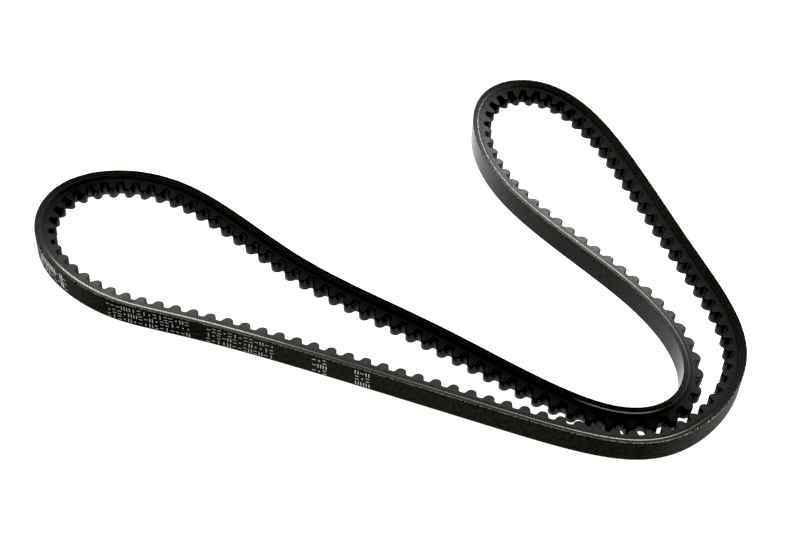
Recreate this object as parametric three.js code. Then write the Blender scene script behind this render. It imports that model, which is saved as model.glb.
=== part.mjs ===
// A raw-edge cogged V belt: one closed ring, standing on its edge and bent into two lobes.
// The belt is laid up from seven bonded plies, and each ply is a closed ring of its own.
// Units are millimetres, +Z is up, and the belt stands on the lower edge of its back at Z = 0.
// Across the section, depth runs from the back (0) to the cog tips, and height runs up the back.
import * as THREE from "three";

// ---- Belt section -------------------------------------------------------------------------
const OUTSIDE_LENGTH = 1188; // once round the back
const TOP_WIDTH = 12.7; // across the back, a 13 mm section
const THICKNESS = 9.6; // back to cog tips
const FLANK_SLOPE = Math.tan(THREE.MathUtils.degToRad(20)); // each flank leans in by this per depth
const BACK_PLY = 0.45; // one layer of rubberised back fabric
const CORD_TOP = 1.9; // depth where the cord layer starts
const CORD_END = 2.9; // depth where the cord layer ends
const CORD_LINE = (CORD_TOP + CORD_END) / 2; // the length that never stretches
const CUSHION_END = 4; // depth of the undercord cushion's inner face
const FACING = 0.4; // fabric over the cogs

// ---- Cogs ---------------------------------------------------------------------------------
const COG_COUNT = 144;
const COG_HEIGHT = 3.8; // valley floor to cog tip
const COG_SHARE = 0.64; // width of a cog's foot in each pitch
const COG_START = 6.59; // along the cord line to the first cog
const COG_FACETS = 6; // flats round each cog
const VALLEY = THICKNESS - COG_HEIGHT; // depth of the valley floors

// ---- The line that the lower edge of the back stands on -----------------------------------
// Control points of a closed cubic B-spline, run counter-clockwise seen from above:
// x, y, and the lean of the section there, in degrees, with its top towards the inside.
const ROUTE = [
  [59, 117, 0.5],
  [27, 96, 1.1],
  [40, 33, 1.8],
  [123, -27, 2.7],
  [143, -77, 3.5],
  [110, -104, 4.1],
  [27, -52, 4.6],
  [-41, -25, 4.3],
  [-101, 31, 3.1],
  [-163, 23, 1.8],
  [-170, -26, 0.7],
  [-124, -60, -0.2],
  [-85, -61, -0.9],
  [69, -105, -1.4],
  [133, -121, -1.2],
  [177, -58, -1.1],
  [140, 3, -1.3],
  [98, 96, -0.5],
];

// ---- Facets -------------------------------------------------------------------------------
const TRACE_STEPS = 4000; // samples for measuring lengths along the route
const MAX_TURN = THREE.MathUtils.degToRad(9); // between two stations of a plain wall
const MAX_STEP = 30;
const MAX_SAG = 0.12; // of a straight facet from the true curve

// Position on the route, its inward normal and the lean of the section, at parameter u.
function onRoute(u) {
  const count = ROUTE.length;
  const first = Math.floor(u);
  const t = u - first;
  const weights = [(1 - t) ** 3, 3 * t ** 3 - 6 * t ** 2 + 4, -3 * t ** 3 + 3 * t ** 2 + 3 * t + 1, t ** 3];
  const rates = [-((1 - t) ** 2), 3 * t ** 2 - 4 * t, -3 * t ** 2 + 2 * t + 1, t ** 2];
  const place = new THREE.Vector2();
  const travel = new THREE.Vector2();
  let lean = 0;
  for (let k = 0; k < 4; k++) {
    const [x, y, degrees] = ROUTE[(first + k - 1 + count) % count];
    place.x += (x * weights[k]) / 6;
    place.y += (y * weights[k]) / 6;
    lean += (THREE.MathUtils.degToRad(degrees) * weights[k]) / 6;
    travel.x += (x * rates[k]) / 2;
    travel.y += (y * rates[k]) / 2;
  }
  travel.normalize();
  return { place, inward: new THREE.Vector2(-travel.y, travel.x), lean };
}

// A point of the belt before it is brought to size: depth into the belt, height up its back.
function sectionPoint(u, depth, height) {
  const { place, inward, lean } = onRoute(u);
  const across = depth * Math.cos(lean) + height * Math.sin(lean);
  const up = height * Math.cos(lean) - depth * Math.sin(lean);
  return new THREE.Vector3(place.x + inward.x * across, place.y + inward.y * across, up);
}

// Lengths from u = 0 to each of the evenly spaced samples, along one line of the section.
function traceLengths(depth, height) {
  const lengths = [0];
  let last = sectionPoint(0, depth, height);
  for (let k = 1; k <= TRACE_STEPS; k++) {
    const next = sectionPoint((k / TRACE_STEPS) * ROUTE.length, depth, height);
    lengths.push(lengths[k - 1] + last.distanceTo(next));
    last = next;
  }
  return lengths;
}

// The parameter u at a length along a traced line; it runs on past the end of the first turn.
function parameterAt(lengths, length) {
  const total = lengths[TRACE_STEPS];
  const turns = Math.floor(length / total);
  const wanted = length - turns * total;
  let low = 0;
  let high = TRACE_STEPS;
  while (high - low > 1) {
    const middle = (low + high) >> 1;
    if (lengths[middle] <= wanted) low = middle;
    else high = middle;
  }
  const share = (wanted - lengths[low]) / (lengths[high] - lengths[low]);
  return (turns + (low + share) / TRACE_STEPS) * ROUTE.length;
}

// Stations of a plain wall: closer together where the belt bends.
function wallStations() {
  const stations = [];
  let last = onRoute(0);
  for (let k = 0; k < TRACE_STEPS; k++) {
    const u = (k / TRACE_STEPS) * ROUTE.length;
    const here = onRoute(u);
    const turn = Math.abs(last.inward.angleTo(here.inward));
    const step = last.place.distanceTo(here.place);
    if (k === 0 || turn > MAX_TURN || step > MAX_STEP || (step * turn) / 8 > MAX_SAG) {
      stations.push(u);
      last = here;
    }
  }
  return stations;
}

// The cogged outline as stations of u and depth: a valley floor, then half an ellipse per cog.
// The stations at each cog's foot are marked, because the flank is whole up to their line.
function coggedLine(valleyDepth, halfWidth) {
  const lengths = traceLengths(CORD_LINE, TOP_WIDTH / 2);
  const pitch = lengths[TRACE_STEPS] / COG_COUNT;
  const line = [];
  for (let cog = 0; cog < COG_COUNT; cog++) {
    for (let facet = 0; facet <= COG_FACETS; facet++) {
      const angle = (Math.PI * facet) / COG_FACETS;
      const along = COG_START + cog * pitch - halfWidth(pitch) * Math.cos(angle);
      const depth = valleyDepth + COG_HEIGHT * Math.sin(angle);
      line.push({ u: parameterAt(lengths, along), depth, foot: facet % COG_FACETS === 0 });
    }
  }
  return line;
}

const plainLine = (depth) => wallStations().map((u) => ({ u, depth }));

// Size and centring: the back measures OUTSIDE_LENGTH, and the belt's box is centred on Z.
function makePlacer() {
  const scale = OUTSIDE_LENGTH / traceLengths(0, 0)[TRACE_STEPS];
  const box = new THREE.Box3();
  const brought = (u, depth, height) => {
    const point = sectionPoint(u, depth / scale, height / scale);
    return point.multiplyScalar(scale);
  };
  for (const u of wallStations()) {
    box.expandByPoint(brought(u, 0, 0));
    box.expandByPoint(brought(u, 0, TOP_WIDTH));
  }
  const middle = box.getCenter(new THREE.Vector3());
  return (u, depth, height) => {
    const point = brought(u, depth, height);
    return point.set(point.x - middle.x, point.y - middle.y, point.z);
  };
}
const placed = makePlacer();

// One closed ring between an outer and an inner line, cut off by the two sloping flanks.
// Lines of equal length are joined station to station. A plain line is joined to the feet of a
// cogged one, and the end of each cog is closed by a fan of its own.
function ring(outer, inner) {
  const positions = [];
  const triangles = [];
  const face = (a, b, c, flip) => triangles.push(...(flip ? [a, c, b] : [a, b, c]));

  const edges = (line) => {
    const low = [];
    const high = [];
    for (const { u, depth } of line) {
      const rise = depth * FLANK_SLOPE;
      low.push(positions.push(placed(u, depth, rise)) - 1);
      high.push(positions.push(placed(u, depth, TOP_WIDTH - rise)) - 1);
    }
    return { low, high };
  };

  const wall = ({ low, high }, flip) => {
    for (let k = 0; k < low.length; k++) {
      const next = (k + 1) % low.length;
      face(low[k], low[next], high[next], flip);
      face(low[k], high[next], high[k], flip);
    }
  };

  const ladder = (a, b, flip) => {
    for (let k = 0; k < a.length; k++) {
      const next = (k + 1) % a.length;
      face(a[k], a[next], b[next], flip);
      face(a[k], b[next], b[k], flip);
    }
  };

  const cogEnds = (a, b, flip) => {
    const feet = [...inner.keys()].filter((n) => inner[n].foot);
    const foot = (n) => b[feet[n % feet.length]];
    const outerU = (n) => outer[n % outer.length].u + (n < outer.length ? 0 : ROUTE.length);
    const footU = (n) => inner[feet[n % feet.length]].u + (n < feet.length ? 0 : ROUTE.length);
    let j = 0;
    let k = 0;
    while (j < outer.length || k < feet.length) {
      if (k === feet.length || (j < outer.length && outerU(j + 1) <= footU(k + 1))) {
        face(a[j], a[(j + 1) % outer.length], foot(k), flip);
        j++;
      } else {
        face(a[j % outer.length], foot(k + 1), foot(k), flip);
        k++;
      }
    }
    for (let first = 0; first < inner.length; first += COG_FACETS + 1) {
      for (let n = first + 1; n < first + COG_FACETS; n++) {
        face(b[first], b[n + 1], b[n], flip);
      }
    }
  };

  const outside = edges(outer);
  const inside = edges(inner);
  const flank = outer.length === inner.length ? ladder : cogEnds;
  wall(outside, false);
  wall(inside, true);
  flank(outside.high, inside.high, false);
  flank(outside.low, inside.low, true);

  const geometry = new THREE.BufferGeometry();
  geometry.setAttribute("position", new THREE.Float32BufferAttribute(positions.flatMap((p) => p.toArray()), 3));
  geometry.setIndex(triangles);
  geometry.computeVertexNormals();
  return geometry;
}

function ply(name, outer, inner, color, roughness) {
  const material = new THREE.MeshStandardMaterial({ color, roughness, metalness: 0 });
  const mesh = new THREE.Mesh(ring(outer, inner), material);
  mesh.name = name;
  return mesh;
}

// ---- The plies, from the back to the cogs --------------------------------------------------
const plyLines = [0, BACK_PLY, 2 * BACK_PLY, CORD_TOP, CORD_END, CUSHION_END].map(plainLine);
const rubberCogs = coggedLine(VALLEY - FACING, (pitch) => (COG_SHARE * pitch) / 2 - FACING);
const facingCogs = coggedLine(VALLEY, (pitch) => (COG_SHARE * pitch) / 2);

const belt = new THREE.Group();
belt.add(ply("back_fabric_outer", plyLines[0], plyLines[1], 0x24221f, 0.8));
belt.add(ply("back_fabric_inner", plyLines[1], plyLines[2], 0x2c2a27, 0.85));
belt.add(ply("overcord_rubber", plyLines[2], plyLines[3], 0x2a2a29, 0.6));
belt.add(ply("tensile_cord", plyLines[3], plyLines[4], 0xc9c7c0, 0.7));
belt.add(ply("undercord_cushion", plyLines[4], plyLines[5], 0x2f2f2e, 0.6));
belt.add(ply("cogged_rubber", plyLines[5], rubberCogs, 0x2b2b2b, 0.55));
belt.add(ply("cog_facing", rubberCogs, facingCogs, 0x211f1e, 0.75));

export default belt;
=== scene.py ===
import math

import bpy
import numpy as np
from mathutils import Matrix, Vector


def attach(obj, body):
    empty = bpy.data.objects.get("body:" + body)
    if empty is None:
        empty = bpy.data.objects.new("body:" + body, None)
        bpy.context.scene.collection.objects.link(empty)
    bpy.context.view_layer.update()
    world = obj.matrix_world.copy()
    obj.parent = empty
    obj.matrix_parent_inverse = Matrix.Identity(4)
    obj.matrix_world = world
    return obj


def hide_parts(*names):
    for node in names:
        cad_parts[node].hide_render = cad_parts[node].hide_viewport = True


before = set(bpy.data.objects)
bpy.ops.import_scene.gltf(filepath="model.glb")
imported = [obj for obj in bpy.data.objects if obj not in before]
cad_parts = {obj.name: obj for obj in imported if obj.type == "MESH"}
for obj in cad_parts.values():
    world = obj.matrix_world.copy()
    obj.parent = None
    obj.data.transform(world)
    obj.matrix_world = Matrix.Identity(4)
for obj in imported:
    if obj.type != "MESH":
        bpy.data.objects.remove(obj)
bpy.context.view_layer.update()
MM = 0.001

# ---- Section and route of the belt, the same as the CAD model's ---------------------------
OUTSIDE_LENGTH = 1188.0
TOP_WIDTH = 12.7
THICKNESS = 9.6
FLANK_SLOPE = math.tan(math.radians(20))
BACK_PLY = 0.45
CORD_TOP = 1.9
CORD_END = 2.9
CORD_LINE = (CORD_TOP + CORD_END) / 2
CUSHION_END = 4.0
FACING = 0.4
COG_COUNT = 144
COG_HEIGHT = 3.8
COG_SHARE = 0.61
COG_SQUARE = 0.9  # power that makes a cog's head squarer than an ellipse
COG_FOOT = 1.3  # radius of the rounding at a cog's foot
COG_START = 6.59
VALLEY = THICKNESS - COG_HEIGHT
TRACE_STEPS = 4000

# Control points of a closed cubic B-spline along the back: x, y, and the section's lean in degrees.
ROUTE = np.array([
    [59, 117, 0.5],
    [27, 96, 1.1],
    [40, 33, 1.8],
    [123, -27, 2.7],
    [143, -77, 3.5],
    [110, -104, 4.1],
    [27, -52, 4.6],
    [-41, -25, 4.3],
    [-101, 31, 3.1],
    [-163, 23, 1.8],
    [-170, -26, 0.7],
    [-124, -60, -0.2],
    [-85, -61, -0.9],
    [69, -105, -1.4],
    [133, -121, -1.2],
    [177, -58, -1.1],
    [140, 3, -1.3],
    [98, 96, -0.5],
], float)


def on_route(u):
    """Place, inward normal and lean of the section at the parameters u."""
    first = np.floor(u).astype(int)
    t = u - first
    weights = [(1 - t) ** 3, 3 * t**3 - 6 * t**2 + 4, -3 * t**3 + 3 * t**2 + 3 * t + 1, t**3]
    weights = np.stack(weights, -1) / 6
    rates = np.stack([-((1 - t) ** 2), 3 * t**2 - 4 * t, -3 * t**2 + 2 * t + 1, t**2], -1) / 2
    points = ROUTE[(first[..., None] + np.arange(-1, 3)) % len(ROUTE)]
    place = (points[..., :2] * weights[..., None]).sum(-2)
    lean = np.radians((points[..., 2] * weights).sum(-1))
    travel = (points[..., :2] * rates[..., None]).sum(-2)
    travel /= np.linalg.norm(travel, axis=-1, keepdims=True)
    inward = np.stack([-travel[..., 1], travel[..., 0]], -1)
    return place, inward, lean


def section_point(u, depth, height):
    """Points in millimetres before the belt is brought to size and centred."""
    u, depth, height = np.broadcast_arrays(u, depth, height)
    place, inward, lean = on_route(u)
    across = depth * np.cos(lean) + height * np.sin(lean)
    up = height * np.cos(lean) - depth * np.sin(lean)
    flat = place + inward * across[..., None]
    return np.concatenate([flat, up[..., None]], -1)


TRACE_U = np.arange(TRACE_STEPS + 1) / TRACE_STEPS * len(ROUTE)


def trace_lengths(depth, height):
    points = section_point(TRACE_U, depth, height)
    steps = np.linalg.norm(np.diff(points, axis=0), axis=1)
    return np.concatenate([[0], np.cumsum(steps)])


SCALE = OUTSIDE_LENGTH / trace_lengths(0.0, 0.0)[-1]
EDGES = np.concatenate([section_point(TRACE_U, 0.0, h) for h in (0.0, TOP_WIDTH / SCALE)]) * SCALE
MIDDLE = np.array([*((EDGES.min(0) + EDGES.max(0)) / 2)[:2], 0.0])
CORD_LENGTHS = trace_lengths(CORD_LINE, TOP_WIDTH / 2)
LOOP = CORD_LENGTHS[-1]
PITCH = LOOP / COG_COUNT


def u_at(along):
    """The route's parameter at a length along the cord line."""
    turns = np.floor(along / LOOP)
    return np.interp(along - turns * LOOP, CORD_LENGTHS, TRACE_U) + turns * len(ROUTE)


def placed(along, depth, height):
    """Points in metres in the CAD frame, from measures of the belt in millimetres."""
    point = section_point(u_at(along), np.asarray(depth) / SCALE, np.asarray(height) / SCALE)
    return (point * SCALE - MIDDLE) * MM


# ---- Meshes --------------------------------------------------------------------------------
def wander(along, seed, longest=60.0, shortest=3.0, waves=14):
    """A smooth random wave of the belt's length, of about unit size, that closes on itself."""
    random = np.random.default_rng(seed)
    total = np.zeros_like(along)
    for _ in range(waves):
        length = shortest * (longest / shortest) ** random.random()
        turns = max(1, round(LOOP / length))
        total += np.sin(2 * math.pi * (turns * along / LOOP + random.random()))
    return total / math.sqrt(waves / 2)


def mesh_object(name, points, quads, lay, material, sharp=40):
    """A smooth-shaded mesh whose corners keep their belt measures in the attribute lay."""
    mesh = bpy.data.meshes.new(name)
    mesh.from_pydata(points.tolist(), [], quads.tolist())
    attribute = mesh.attributes.new("lay", "FLOAT_VECTOR", "CORNER")
    attribute.data.foreach_set("vector", np.ascontiguousarray(lay, np.float32).ravel())
    mesh.materials.append(material)
    mesh.shade_smooth()
    mesh.set_sharp_from_angle(angle=math.radians(sharp))
    piece = bpy.data.objects.new(name, mesh)
    bpy.context.scene.collection.objects.link(piece)
    return piece


def grid_faces(rows, columns, close_rows, close_columns):
    """Quads of a grid of points, and each corner's row and column counted past the closing."""
    r, c = np.meshgrid(
        np.arange(rows if close_rows else rows - 1),
        np.arange(columns if close_columns else columns - 1),
        indexing="ij",
    )
    corner_rows = np.stack([r, r + 1, r + 1, r], -1).reshape(-1, 4)
    corner_columns = np.stack([c, c, c + 1, c + 1], -1).reshape(-1, 4)
    quads = (corner_rows % rows) * columns + corner_columns % columns
    return quads, corner_rows, corner_columns


def ring_object(name, along, depth, height, material, sharp=40):
    """A closed ring. along, depth and height are grids of stations by section points."""
    along, depth, height = np.broadcast_arrays(along, depth, height)
    stations, columns = along.shape
    points = placed(along, depth, height).reshape(-1, 3)
    quads, rows, cols = grid_faces(stations, columns, True, True)
    at = (rows % stations, cols % columns)
    lay = np.stack([along[at] + LOOP * (rows == stations), height[at], depth[at]], -1)
    return mesh_object(name, points, quads, lay.reshape(-1, 3), material, sharp)


def low_flank(depth):
    return np.asarray(depth) * FLANK_SLOPE


def high_flank(depth):
    return TOP_WIDTH - np.asarray(depth) * FLANK_SLOPE


PLAIN_STATIONS = 1176
PLAIN = (np.arange(PLAIN_STATIONS) * LOOP / PLAIN_STATIONS)[:, None]
SKIN = 0.001  # gap kept between neighbouring plies


def plain_ply(name, start, end, material, proud=0.0, nick=0.05, wave=0.03, seed=1):
    """A ply between two depths. nick breaks its edges, so that a fine line shows between plies."""
    rims = np.array([start + SKIN, start + nick, end - nick, end - SKIN])
    sunk = np.array([nick, 0, 0, nick]) - proud
    high = high_flank(rims) - sunk + wander(PLAIN, seed) * wave
    low = low_flank(rims) + sunk + wander(PLAIN, seed + 50) * wave
    depth = np.concatenate([rims, rims[::-1]])[None, :]
    height = np.concatenate([high, low[:, ::-1]], 1)
    return ring_object(name, PLAIN, depth, height, material)


# ---- Materials -----------------------------------------------------------------------------
class Nodes:
    """Short calls for building one node tree, of a new material unless another tree is given."""

    def __init__(self, name="", tree=None):
        self.tree = tree
        if tree is None:
            self.material = bpy.data.materials.new(name)
            self.material.use_nodes = True
            self.tree = self.material.node_tree
            self.surface = self.tree.nodes["Principled BSDF"]

    def add(self, kind, inputs=None, **settings):
        node = self.tree.nodes.new(kind)
        for key, value in settings.items():
            setattr(node, key, value)
        for key, value in (inputs or {}).items():
            self.feed(node.inputs[key], value)
        return node

    def feed(self, socket, value):
        if isinstance(value, bpy.types.NodeSocket):
            self.tree.links.new(value, socket)
        else:
            socket.default_value = value

    def math(self, operation, *values, clamp=False):
        node = self.add("ShaderNodeMath", operation=operation, use_clamp=clamp)
        for socket, value in zip(node.inputs, values):
            self.feed(socket, value)
        return node.outputs[0]

    def lay(self):
        """The belt's own measures: length along it, height up the back, and depth."""
        place = self.add("ShaderNodeAttribute", attribute_name="lay").outputs["Vector"]
        return self.add("ShaderNodeSeparateXYZ", {0: place}).outputs

    def vector(self, x, y, z=0.0):
        return self.add("ShaderNodeCombineXYZ", {0: x, 1: y, 2: z}).outputs[0]

    def noise(self, vector, scale, detail=3.0, roughness=0.5):
        inputs = {"Vector": vector, "Scale": scale, "Detail": detail, "Roughness": roughness}
        return self.add("ShaderNodeTexNoise", inputs).outputs[0]

    def ramp(self, value, stops):
        node = self.add("ShaderNodeValToRGB", {0: value})
        elements = node.color_ramp.elements
        while len(elements) < len(stops):
            elements.new(0.5)
        for element, (position, level) in zip(elements, stops):
            element.position = position
            element.color = (*([level] * 3 if isinstance(level, (int, float)) else level), 1)
        return node.outputs[0]

    def mix(self, share, first, second):
        node = self.add("ShaderNodeMix", data_type="RGBA")
        self.feed(node.inputs[0], share)
        self.feed(node.inputs[6], first)
        self.feed(node.inputs[7], second)
        return node.outputs[2]

    def bump(self, height, distance, strength=1.0):
        inputs = {"Strength": strength, "Distance": distance, "Height": height}
        return self.add("ShaderNodeBump", inputs).outputs[0]

    def finish(self, color, roughness, specular, normal=None, tint=(1, 1, 1)):
        values = {"Base Color": color, "Roughness": roughness, "Specular IOR Level": specular}
        for key, value in values.items():
            self.feed(self.surface.inputs[key], value)
        self.feed(self.surface.inputs["Specular Tint"], (*tint, 1))
        if normal is not None:
            self.feed(self.surface.inputs["Normal"], normal)
        return self.material


WARM = (1.0, 0.98, 0.95)  # tint of the rubber's shine

# How polished the flanks are along the belt, as a share of plain rubber's shine.
POLISH = [
    (0, 0.75), (30, 1.0), (60, 1.4), (75, 1.62), (160, 1.58), (200, 0.95), (225, 0.6), (255, 0.5),
    (300, 0.75), (540, 0.75), (565, 0.4), (600, 0.33), (625, 0.62), (650, 1.25), (675, 0.95), (700, 0.76),
    (750, 0.48), (800, 0.5), (850, 0.36), (925, 0.42), (960, 0.6), (1000, 0.78), (1120, 0.78), (1172, 0.75),
]


def along_belt(n, along, stops):
    """A level that changes with the length along the belt, from pairs of length and level."""
    share = n.math("DIVIDE", n.math("MODULO", along, LOOP), LOOP)
    return n.ramp(share, [(s / LOOP, level) for s, level in stops])


def ground_rubber(name, dark, light, specular):
    """Raw rubber ground to the wedge: fine grain, short fibres across the belt, dull patches."""
    n = Nodes(name)
    along, height, depth = n.lay()
    place = n.vector(along, depth, height)
    across = n.vector(n.math("MULTIPLY", along, 9.0), n.math("MULTIPLY", depth, 1.6), height)
    fibres = n.noise(across, 1.0, 2.0)
    grain = n.noise(place, 5.0, 4.0, 0.65)
    patches = n.noise(place, 0.35, 2.0)
    tone = n.math("ADD", n.math("MULTIPLY", grain, 0.6), n.math("MULTIPLY", patches, 0.4))
    color = n.mix(n.ramp(tone, [(0.35, 0.0), (0.68, 1.0)]), (*dark, 1), (*light, 1))
    short = n.vector(n.math("MULTIPLY", along, 2.2), n.math("MULTIPLY", depth, 1.4), height)
    flecks = n.ramp(n.noise(short, 1.0, 2.0), [(0.60, 0.0), (0.70, 1.0)])
    polish = along_belt(n, along, POLISH)
    bare = n.ramp(polish, [(0.8, 0.05), (1.1, 0.7)])
    color = n.mix(n.math("MULTIPLY", flecks, bare), color, (0.17, 0.152, 0.13, 1))
    roughness = n.math("ADD", n.math("MULTIPLY", patches, 0.16), 0.36)
    relief = n.math("ADD", n.math("MULTIPLY", fibres, 0.5), grain)
    tips = n.add("ShaderNodeMapRange", {0: depth, 1: 3.6, 2: 8.0, 3: 0.95, 4: 1.3}).outputs[0]
    blotches = n.math("SUBTRACT", n.noise(place, 0.8, 4.0, 0.75), 0.5)
    depth_of_mottle = n.ramp(polish, [(0.79, 0.3), (1.0, 3.6)])
    mottle = n.math("ADD", n.math("MULTIPLY", blotches, depth_of_mottle), 1.0)
    shine = n.math("MULTIPLY", n.math("MULTIPLY", polish, specular), n.math("MULTIPLY", tips, mottle))
    return n.finish(color, roughness, shine, n.bump(relief, 0.00007, 0.8), WARM)


THREAD_PITCH = 0.95
NO_EDGE_LINE = (2.0, 3.0)  # a cloth with no pale line at its cut edges, neither thread nor painted glint


def belt_fabric(name, dark, light, specular, roughness, cut=NO_EDGE_LINE, worn=None, valley_light=None):
    """Rubber-soaked woven cloth laid on the bias, with its threads showing as a fine relief.
    cut is where, as shares of half the belt's width, the pale line along the cut edges starts and is full:
    partly pale cut thread, partly a painted glint. The cloth in the valleys can also be painted lighter, as
    painted light."""
    n = Nodes(name)
    along, height, depth = n.lay()
    across = n.math("ADD", height, depth)
    warp = n.math("ADD", along, across)
    weft = n.math("SUBTRACT", along, across)
    over = n.math("SINE", n.math("MULTIPLY", warp, 2 * math.pi / THREAD_PITCH))
    under = n.math("SINE", n.math("MULTIPLY", weft, 2 * math.pi / THREAD_PITCH))
    weave = n.math("ADD", n.math("MULTIPLY", n.math("MULTIPLY", over, under), 0.5), 0.5)
    place = n.vector(along, height, depth)
    grain = n.noise(place, 4.0, 3.0, 0.6)
    patches = n.noise(n.vector(n.math("MULTIPLY", along, 0.4), height, depth), 0.3, 3.0)
    rough_tone = n.math("MULTIPLY", n.math("ADD", grain, patches), 0.4)
    tone = n.math("ADD", n.math("MULTIPLY", weave, 0.25), rough_tone)
    color = n.mix(n.ramp(tone, [(0.35, 0.0), (0.75, 1.0)]), (*dark, 1), (*light, 1))
    # Painted light: the cloth in the valleys between the cogs is painted lighter, most at the valley floor,
    # to lift the shade there.
    if valley_light:
        valley_share = n.add("ShaderNodeMapRange", {0: depth, 1: VALLEY, 2: THICKNESS, 3: 1.0, 4: 0.0})
        valley_light_paint = n.math("MULTIPLY", valley_share.outputs[0], along_belt(n, along, valley_light))
        color = n.mix(valley_light_paint, color, (0.085, 0.084, 0.083, 1))
    rim = n.math("ABSOLUTE", n.math("SUBTRACT", height, TOP_WIDTH / 2))
    edge = n.ramp(n.math("DIVIDE", rim, TOP_WIDTH / 2), [(cut[0], 0.0), (cut[1], 1.0)])
    frayed = n.vector(n.math("MULTIPLY", along, 1.1), n.math("MULTIPLY", depth, 2.0), 0.0)
    breaks = n.ramp(n.noise(frayed, 1.0, 3.0), [(0.42, 0.0), (0.62, 1.0)])
    # Pale line along the cut edges: partly pale frayed thread, partly a painted glint where the edges catch
    # the light.
    edge_thread_and_glint = n.math("MULTIPLY", n.math("MULTIPLY", edge, breaks), along_belt(n, along, EDGE_THREAD_AND_GLINT))
    color = n.mix(edge_thread_and_glint, color, (0.55, 0.54, 0.48, 1))
    rough = n.math("ADD", n.math("MULTIPLY", patches, 0.15), roughness - 0.07)
    relief = n.math("ADD", n.math("MULTIPLY", weave, 0.5), grain)
    shine = specular
    if worn:
        blots = n.math("ADD", n.math("MULTIPLY", n.noise(place, 0.55, 4.0, 0.65), 1.6), 0.2)
        share = along_belt(n, along, worn)
        shine = n.math("MULTIPLY", n.math("MULTIPLY", share, specular), blots)
        dull = n.math("MAXIMUM", n.math("SUBTRACT", 0.6, share), 0.0)
        rough = n.math("ADD", rough, n.math("MULTIPLY", dull, 0.6))
    return n.finish(color, rough, shine, n.bump(relief, 0.00005, 0.35), WARM)


# Where along the belt the cut cords are painted pale. The cut cord is really pale, but it is painted pale
# only where the cord line catches the light, a painted highlight, and painted dark as shade elsewhere.
CORD_PALE_WHERE_LIT = [
    (0, 0.0), (22, 0.1), (32, 0.8), (60, 0.9), (165, 1.0), (195, 0.4), (225, 0.05), (252, 0.0),
    (262, 0.25), (283, 0.25), (292, 0.0), (606, 0.0), (616, 0.12), (629, 1.0), (712, 1.0), (738, 0.25),
    (765, 0.08), (805, 0.16), (855, 0.3), (888, 0.85), (905, 0.8), (920, 0.2), (935, 0.0),
]
YARN_TWIST = 1.4  # length along the cord from strand to strand


def cord_yarn():
    """Twisted polyester cord with pale fibres where the flank cuts it; they are painted pale only where the
    cord line catches the light, as a painted highlight, and the cord is painted dark as shade elsewhere.
    """
    n = Nodes("cord_yarn")
    along, height, depth = n.lay()
    # Painted highlight and shade: the pale cord colour is shown along the belt only where the cord line
    # catches the light.
    pale_where_lit = along_belt(n, along, CORD_PALE_WHERE_LIT)
    round_cord = n.math("MULTIPLY", along, 2 * math.pi / YARN_TWIST)
    strands = n.math("SINE", n.math("ADD", round_cord, n.math("MULTIPLY", depth, 7.0)))
    loose = n.vector(n.math("MULTIPLY", along, 0.9), n.math("MULTIPLY", depth, 3.0), 0.0)
    wisps = n.noise(loose, 1.0, 3.0)
    pale = n.math("ADD", n.math("MULTIPLY", strands, 0.14), n.math("MULTIPLY", wisps, 1.0))
    pale = n.ramp(pale, [(0.30, 0.15), (0.58, 1.0)])
    share = n.math("MULTIPLY", pale_where_lit, pale, clamp=True)
    color = n.mix(share, (0.047, 0.0465, 0.045, 1), (0.95, 0.92, 0.83, 1))
    shine = n.math("ADD", n.math("MULTIPLY", share, 0.8), 0.2)
    return n.finish(color, 0.35, shine, n.bump(strands, 0.00005, 0.6))


# How fresh the print is along the belt.
INK_TONE = [
    (0, 0.6), (600, 1.0), (632, 1.0), (645, 0.65), (742, 0.7), (748, 1.0), (785, 1.0), (800, 0.6),
]


def print_ink():
    """Pale ink, worn away in places."""
    n = Nodes("print_ink")
    along, height, depth = n.lay()
    wear = n.noise(n.vector(along, height, depth), 2.2, 3.0, 0.7)
    tone = along_belt(n, along, INK_TONE)
    share = n.math("MULTIPLY", n.ramp(wear, [(0.30, 0.15), (0.55, 1.0)]), tone)
    color = n.mix(share, (0.012, 0.012, 0.012, 1), (0.66, 0.67, 0.64, 1))
    return n.finish(color, 0.6, 0.15)


# How much the cog cloth in the valleys is painted lighter along the belt: painted light that lifts the
# shade between the cogs.
VALLEY_PAINTED_LIGHT = [
    (0, 0.1), (60, 0.0), (240, 0.0), (280, 0.2), (540, 0.2), (570, 0.1), (620, 0.0), (930, 0.0),
    (990, 0.35), (1120, 0.35), (1172, 0.15),
]

# How much the back shines along the belt, as a share of its cloth's usual shine.
BACK_SHINE = [
    (0, 1.3), (60, 1.1), (90, 0.78), (160, 0.8), (200, 1.0), (560, 0.9), (595, 0.2), (630, 0.3),
    (660, 0.5), (700, 0.7), (740, 0.79), (855, 0.78), (890, 0.71), (920, 0.34), (950, 0.2), (985, 0.5),
    (1010, 1.4), (1172, 1.4),
]

# How much of the pale line shows along the back's cut edges: partly pale frayed thread, partly a painted
# glint where the edges catch the light.
EDGE_THREAD_AND_GLINT = [
    (0, 0.6), (60, 0.5), (200, 0.2), (230, 0.08), (560, 0.08), (590, 0.2), (640, 0.35), (880, 0.4),
    (910, 0.9), (930, 1.0), (950, 0.6), (975, 0.3), (1172, 0.4),
]

# Each material's darkest and lightest colour, then its shine.
flank_rubber = ground_rubber("flank_rubber", (0.0309, 0.0306, 0.0308), (0.0362, 0.0358, 0.0356), 0.5)
dense_rubber = ground_rubber("dense_rubber", (0.043, 0.0425, 0.041), (0.054, 0.053, 0.051), 0.33)
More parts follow.
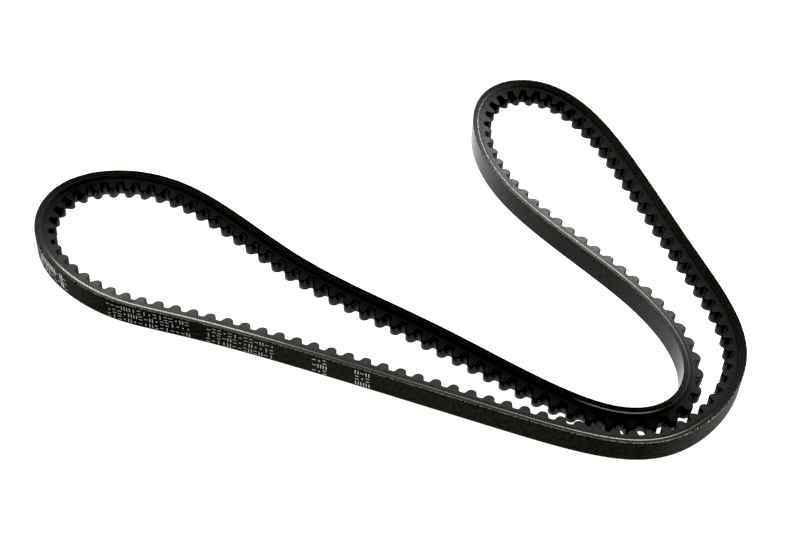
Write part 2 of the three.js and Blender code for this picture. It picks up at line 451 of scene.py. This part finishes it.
# The back cloth carries the pale line along its cut edges, partly thread and partly a painted glint.
back_cloth = belt_fabric(
    "back_cloth", (0.016, 0.0157, 0.0148), (0.022, 0.0215, 0.0195), 0.16, 0.2,
    cut=(0.955, 0.97), worn=BACK_SHINE,
)
inner_cloth = belt_fabric("inner_cloth", (0.045, 0.0445, 0.043), (0.055, 0.054, 0.052), 0.2, 0.42)
# The cog cloth's valleys are painted lighter here, as painted light.
cog_cloth = belt_fabric(
    "cog_cloth", (0.027, 0.027, 0.0275), (0.036, 0.0355, 0.0355), 0.2, 0.5, valley_light=VALLEY_PAINTED_LIGHT,
)
yarn = cord_yarn()
ink = print_ink()

# ---- Back, cords and cushion ----------------------------------------------------------------
ROUND = 0.2  # worn radius of the back's two edges
ROUND_TURNS = np.radians([90, 67, 45, 22, 0])
FRAYED = 0.6  # how far below its top the back cloth's edge wanders
rise = np.linspace(0.0, TOP_WIDTH, 15)[1:-1]


def back_cover():
    """The outer cloth, with its two outer edges worn round and slightly wavy."""
    fray = wander(PLAIN, 11, 25.0, 1.6, 30) * 0.035
    low_edge = ROUND * np.stack([1 - np.cos(ROUND_TURNS), 1 - np.sin(ROUND_TURNS)], 1)
    low_edge[:, 1] += low_flank(low_edge[:, 0])
    high_edge = low_edge[::-1].copy()
    high_edge[:, 1] = TOP_WIDTH - high_edge[:, 1]
    inner = np.array([[BACK_PLY, high_flank(BACK_PLY)], [BACK_PLY, low_flank(BACK_PLY)]])
    middle = np.stack([np.zeros_like(rise), rise], 1)
    outline = np.concatenate([low_edge, middle, high_edge, inner])
    depth = outline[None, :, 0]
    height = np.broadcast_to(outline[None, :, 1], (len(PLAIN), len(outline))).copy()
    top = outline[:, 1] > TOP_WIDTH - FRAYED
    height[:, top] += fray
    return ring_object("back_cover_cloth", PLAIN, depth, height, back_cloth)


cover = back_cover()
under_cover = plain_ply(
    "back_under_cloth", BACK_PLY, 2 * BACK_PLY, inner_cloth, proud=-0.02, wave=0.02, seed=2
)
overcord = plain_ply("overcord_layer", 2 * BACK_PLY, CORD_TOP, dense_rubber, proud=0.0, wave=0.02, seed=3)
bedding = plain_ply("cord_bedding", CORD_TOP, CORD_END, dense_rubber, proud=-0.03, wave=0.01, seed=4)
cushion = plain_ply(
    "undercord_layer", CORD_END, CUSHION_END, flank_rubber, proud=0.01, nick=0.04, wave=0.02, seed=5
)

CORD_RADIUS = 0.45
CORD_TAPER = 0.98  # how far past a flank the winding starts and ends, as a share of its radius
CORD_PROUD = 0.02  # the cut cord stands this far out of the flank
CORD_LEAD = 1.05  # rise of the winding in one turn round the belt
CORD_EXIT = 1059.0  # where the last turn has been cut right away by the flank
CORD_SIDES = 8
CORD_STEP = 1.4  # length from station to station
CORD_LUMPS = (0.1, 4.2)  # height of the strands' lumps as a share of the radius, and their twist's length
FLANK_STRETCH = math.hypot(1, FLANK_SLOPE)


def cord_winding():
    """One cord wound round and round the belt, cut flush where it meets the flanks."""
    past = CORD_PROUD + CORD_TAPER * CORD_RADIUS * FLANK_STRETCH
    lowest = low_flank(CORD_LINE) - past
    highest = high_flank(CORD_LINE) + past
    length = (highest - lowest) / CORD_LEAD * LOOP
    run = np.linspace(0.0, length, int(length / CORD_STEP))[:, None]
    along = run + CORD_EXIT - length
    along = along - math.floor(along[0, 0] / LOOP) * LOOP
    middle = lowest + run * CORD_LEAD / LOOP
    # The section is laid out on the direction out through the flank that cuts it there.
    square = math.pi / 2 - math.atan(FLANK_SLOPE)
    turning = [0, 2 * LOOP, length - 2 * LOOP, length]
    out = np.interp(run, turning, [-square, -square, square, square])
    reach = np.minimum(middle - low_flank(CORD_LINE), high_flank(CORD_LINE) - middle)
    cut = (reach + CORD_PROUD) / FLANK_STRETCH
    angle = (-np.arange(CORD_SIDES) * 2 * math.pi / CORD_SIDES)[None, :]
    lumps, twist = CORD_LUMPS
    lump = np.cos(3 * angle - 2 * math.pi * along / twist) * np.clip(cut / CORD_RADIUS, 0, 1)
    lump = 1 + lumps * lump
    chord = np.sqrt(CORD_RADIUS**2 - np.minimum(cut, 0.0) ** 2)
    sideways = chord * np.cos(angle)
    arc = np.sqrt(np.maximum(CORD_RADIUS**2 - sideways**2, 0.0))
    arc = arc * np.where(np.sin(angle) > -1e-9, 1, -1)
    outward = np.minimum(arc * lump, cut)
    sideways = sideways * lump
    depth = CORD_LINE + outward * np.cos(out) + sideways * np.sin(out)
    height = middle + outward * np.sin(out) - sideways * np.cos(out)
    along = np.broadcast_to(along, depth.shape)
    stations, columns = depth.shape
    points = placed(along, depth, height).reshape(-1, 3)
    quads = grid_faces(stations, columns, False, True)[0]
    lay = np.stack([along, height, depth], -1).reshape(-1, 3)
    caps = np.array([[0, 1, 2, 3], [0, 3, 4, 7], [4, 5, 6, 7]])
    last = (stations - 1) * columns
    quads = np.concatenate([quads, caps, caps[:, ::-1] + last])
    return mesh_object("cord_winding", points, quads, lay[quads.ravel()], yarn)


winding = cord_winding()


# ---- Cogs ------------------------------------------------------------------------------------
def cog_outline(half_width, valley, height, samples=18):
    """One cog from valley to valley: length from its middle and depth. Its head is a little
    squarer than half an ellipse, and its feet are rounded into the valleys."""
    foot = math.asin((COG_FOOT / height) ** (1 / COG_SQUARE))
    angle = np.linspace(foot, math.pi - foot, samples)
    cosine = np.cos(angle)
    side = -half_width * np.sign(cosine) * np.abs(cosine) ** COG_SQUARE
    top = valley + height * np.sin(angle) ** COG_SQUARE
    t = np.linspace(0, 1, 6)[:-1]
    start = side[0] - COG_FOOT
    corner = side[0] - 0.12 * COG_FOOT
    curve_side = (1 - t) ** 2 * start + 2 * t * (1 - t) * corner + t**2 * side[0]
    curve_top = (1 - t) ** 2 * valley + 2 * t * (1 - t) * valley + t**2 * top[0]
    left = np.stack([curve_side, curve_top], 1)
    arch = np.stack([side, top], 1)
    right = left[::-1] * [-1, 1]
    return np.concatenate([left, arch, right])


inside = cog_outline(COG_SHARE * PITCH / 2 - FACING, VALLEY - FACING, COG_HEIGHT)
outside = cog_outline(COG_SHARE * PITCH / 2, VALLEY, COG_HEIGHT)
cog_middles = COG_START + np.arange(COG_COUNT)[:, None] * PITCH
inside_along = (cog_middles + inside[None, :, 0]).ravel()[:, None]
outside_along = (cog_middles + outside[None, :, 0]).ravel()[:, None]
inside_depth = np.tile(inside[:, 1], COG_COUNT)[:, None]
outside_depth = np.tile(outside[:, 1], COG_COUNT)[:, None]


BODY_NICK = 0.04  # break of the body's edge against the cushion


def cogged_body():
    """The deep rubber with its cogs, from the cushion to the cloth over the cogs."""
    top = np.full((len(inside_along), 1), CUSHION_END)
    depth = np.concatenate([top, top + BODY_NICK, inside_depth], 1)
    low = low_flank(depth) + [[BODY_NICK, 0, 0]]
    high = high_flank(depth) - [[BODY_NICK, 0, 0]]
    wave = wander(inside_along, 21) * 0.02
    depth = np.concatenate([depth, depth[:, ::-1]], 1)
    height = np.concatenate([high + wave, low[:, ::-1]], 1)
    return ring_object("cogged_body", inside_along, depth, height, flank_rubber)


def cog_cover():
    """The cloth over the cogs, with its cut edges a little broken."""
    nick = 0.09
    fray = wander(outside_along, 22, 12.0, 1.2, 30) * 0.03
    through = [0.0, 0.5, 1.0 - nick / FACING, 1.0]
    blend = np.array([through + through[::-1]])
    along = inside_along + (outside_along - inside_along) * blend
    depth = inside_depth + (outside_depth - inside_depth) * blend
    sunk = np.array([[0.0, 0.0, 0.0, nick]])
    high = high_flank(depth[:, :4]) - sunk + fray
    low = low_flank(depth[:, 4:]) + sunk[:, ::-1]
    return ring_object("cog_cover_cloth", along, depth, np.concatenate([high, low], 1), cog_cloth)


body = cogged_body()
facing = cog_cover()


# ---- Print on the back -------------------------------------------------------------------------
def print_marks():
    """Plain bars and dots in three rows, in place of the lettering such belts carry."""
    random = np.random.default_rng(5)
    groups = [(607, 631, 2), (652, 693, 3), (699, 734, 3), (749, 758, 3), (769, 778, 3)]
    cell = 2.5
    marks = []
    for start, end, rows in groups:
        for row in range(rows):
            middle = ((2.3, 6.1, 9.9) if rows == 3 else (4.2, 8.8))[row]
            tall, stroke = (1.25, 0.42) if rows == 3 else (2.0, 0.7)
            along = start + random.random()
            while along + cell < end:
                kind = random.integers(5)
                if kind == 0:
                    marks.append((along, along + stroke, middle - tall, middle + tall))
                    marks.append((along + 1.3, along + 1.3 + stroke, middle - tall, middle + tall))
                elif kind == 1:
                    for lift in (-tall + 0.2, tall - 0.2):
                        marks.append((along, along + 1.7, middle + lift - 0.2, middle + lift + 0.2))
                elif kind == 2:
                    marks.append((along + 0.7, along + 0.7 + stroke, middle - tall, middle + tall))
                elif kind == 3:
                    marks.append((along, along + 1.7, middle - 0.2, middle + 0.2))
                else:
                    marks.append((along + 0.5, along + 1.2, middle - 0.4, middle + 0.4))
                along += cell
    points, quads, lay = [], [], []
    for a, b, low, high in marks:
        steps = max(2, int((b - a) / 0.5) + 1)
        along = np.linspace(a, b, steps)[:, None]
        along = np.broadcast_to(along, (steps, 4))
        height = np.broadcast_to(np.array([[low, high, high, low]]), (steps, 4))
        depth = np.broadcast_to(np.array([[-0.03, -0.03, 0.05, 0.05]]), (steps, 4))
        faces, ring, cols = grid_faces(steps, 4, False, True)
        base = sum(len(p) for p in points)
        points.append(placed(along, depth, height).reshape(-1, 3))
        ends = np.array([[0, 1, 2, 3], [3, 2, 1, 0]]) + [[0], [4 * (steps - 1)]]
        quads.append(np.concatenate([faces, ends]) + base)
        at = (ring, cols % 4)
        corners = np.stack([along[at], height[at], depth[at]], -1).reshape(-1, 3)
        flat = np.stack([along, height, depth], -1).reshape(-1, 3)
        lay.append(np.concatenate([corners, flat[ends.ravel()]]))
    points, quads, lay = (np.concatenate(part) for part in (points, quads, lay))
    return mesh_object("back_print", points, quads, lay, ink)


marks = print_marks()

for piece, slot, nodes in (
    (cover, "back_fabric", ["back_fabric_outer"]),
    (under_cover, "back_fabric", ["back_fabric_inner"]),
    (overcord, "body_rubber", ["overcord_rubber"]),
    (bedding, "body_rubber", ["tensile_cord"]),
    (winding, "cord", ["tensile_cord"]),
    (cushion, "body_rubber", ["undercord_cushion"]),
    (body, "body_rubber", ["cogged_rubber"]),
    (facing, "cog_fabric", ["cog_facing"]),
    (marks, "back_fabric", []),
):
    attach(piece, "root")
    if nodes:
        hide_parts(*nodes)

# ---- Camera --------------------------------------------------------------------------------------
FOCAL = 1738.3 / 800  # focal length as a share of the picture's width
CAMERA_PITCH = 0.8506  # radians below the horizon
CAMERA_ROLL = 0.0787
camera_data = bpy.data.cameras.new("camera")
camera_data.sensor_width = 36.0
camera_data.lens = FOCAL * 36.0
camera_data.shift_x = -0.0804
camera_data.shift_y = 0.0057
camera_data.dof.use_dof = False
camera_data.clip_start = 0.01
camera = bpy.data.objects.new("camera", camera_data)
forward = Vector((0, math.cos(CAMERA_PITCH), -math.sin(CAMERA_PITCH)))
upward = Vector((0, math.sin(CAMERA_PITCH), math.cos(CAMERA_PITCH)))
rightward = Vector((1, 0, 0))
x_axis = math.cos(CAMERA_ROLL) * rightward + math.sin(CAMERA_ROLL) * upward
y_axis = -math.sin(CAMERA_ROLL) * rightward + math.cos(CAMERA_ROLL) * upward
turned = Matrix((x_axis, y_axis, -forward)).transposed().to_4x4()
place = (np.array([35.5, -547.5, 611.1]) * SCALE - MIDDLE) * MM
camera.matrix_world = Matrix.Translation(Vector(place)) @ turned
bpy.context.scene.collection.objects.link(camera)
bpy.context.scene.camera = camera

# ---- Floor and light --------------------------------------------------------------------------------
floor_mesh = bpy.data.meshes.new("floor")
half = 6.0
corners = [(-half, -half, 0), (half, -half, 0), (half, half, 0), (-half, half, 0)]
floor_mesh.from_pydata(corners, [], [(0, 1, 2, 3)])
floor = bpy.data.objects.new("floor", floor_mesh)
floor.location.z = -0.0004
n = Nodes("floor_white")
n.finish((0.2, 0.2, 0.2, 1), 0.9, 0.0)
n.feed(n.surface.inputs["Emission Color"], (1, 1, 1, 1))
where = n.add("ShaderNodeSeparateXYZ", {0: n.add("ShaderNodeNewGeometry").outputs["Position"]}).outputs
back = n.math("ADD", where[1], n.math("MULTIPLY", where[0], 0.29))
glow_range = {0: back, 1: -0.10, 2: 0.0, 3: 1.05, 4: 1.5}
glowing = n.add("ShaderNodeMapRange", glow_range, interpolation_type="SMOOTHSTEP").outputs[0]
n.feed(n.surface.inputs["Emission Strength"], glowing)
floor_mesh.materials.append(n.material)
bpy.context.scene.collection.objects.link(floor)

world = bpy.data.worlds.new("studio")
world.use_nodes = True
bpy.context.scene.world = world
n = Nodes(tree=world.node_tree)
coordinates = n.add("ShaderNodeTexCoord").outputs["Generated"]
east, north, up = n.add("ShaderNodeSeparateXYZ", {0: coordinates}).outputs
overhead = [(0.0, 1.0), (0.25, 1.0), (0.5, 0.9), (0.77, 0.85), (0.93, 0.8), (1.0, 0.75)]
level = n.ramp(n.math("MAXIMUM", up, 0.0), overhead)
tilt = n.math("ADD", n.math("MULTIPLY", east, 0.3), 1.0)
front = n.math("ADD", n.math("MULTIPLY", north, 0.2), 0.8)
# A soft window of light, low behind the belt.
window = {0: coordinates, 1: (0.318, 0.912, 0.259)}
toward = n.add("ShaderNodeVectorMath", window, operation="DOT_PRODUCT").outputs["Value"]
glow = n.math("MULTIPLY", n.math("POWER", n.math("MAXIMUM", toward, 0.0), 12.0), 1.6)
strength = n.math("ADD", n.math("MULTIPLY", n.math("MULTIPLY", level, tilt), front), glow)
strength = n.math("MULTIPLY", strength, 1.15)
background = world.node_tree.nodes["Background"]
n.feed(background.inputs["Color"], (1, 1, 1, 1))
n.feed(background.inputs["Strength"], strength)

# The picture's contrast: plain colours, with the deepest tones taken down to black.
display = bpy.context.scene.view_settings
display.view_transform = "Standard"
display.use_curve_mapping = True
display.curve_mapping.black_level = (0.04, 0.04, 0.04)
display.curve_mapping.update()
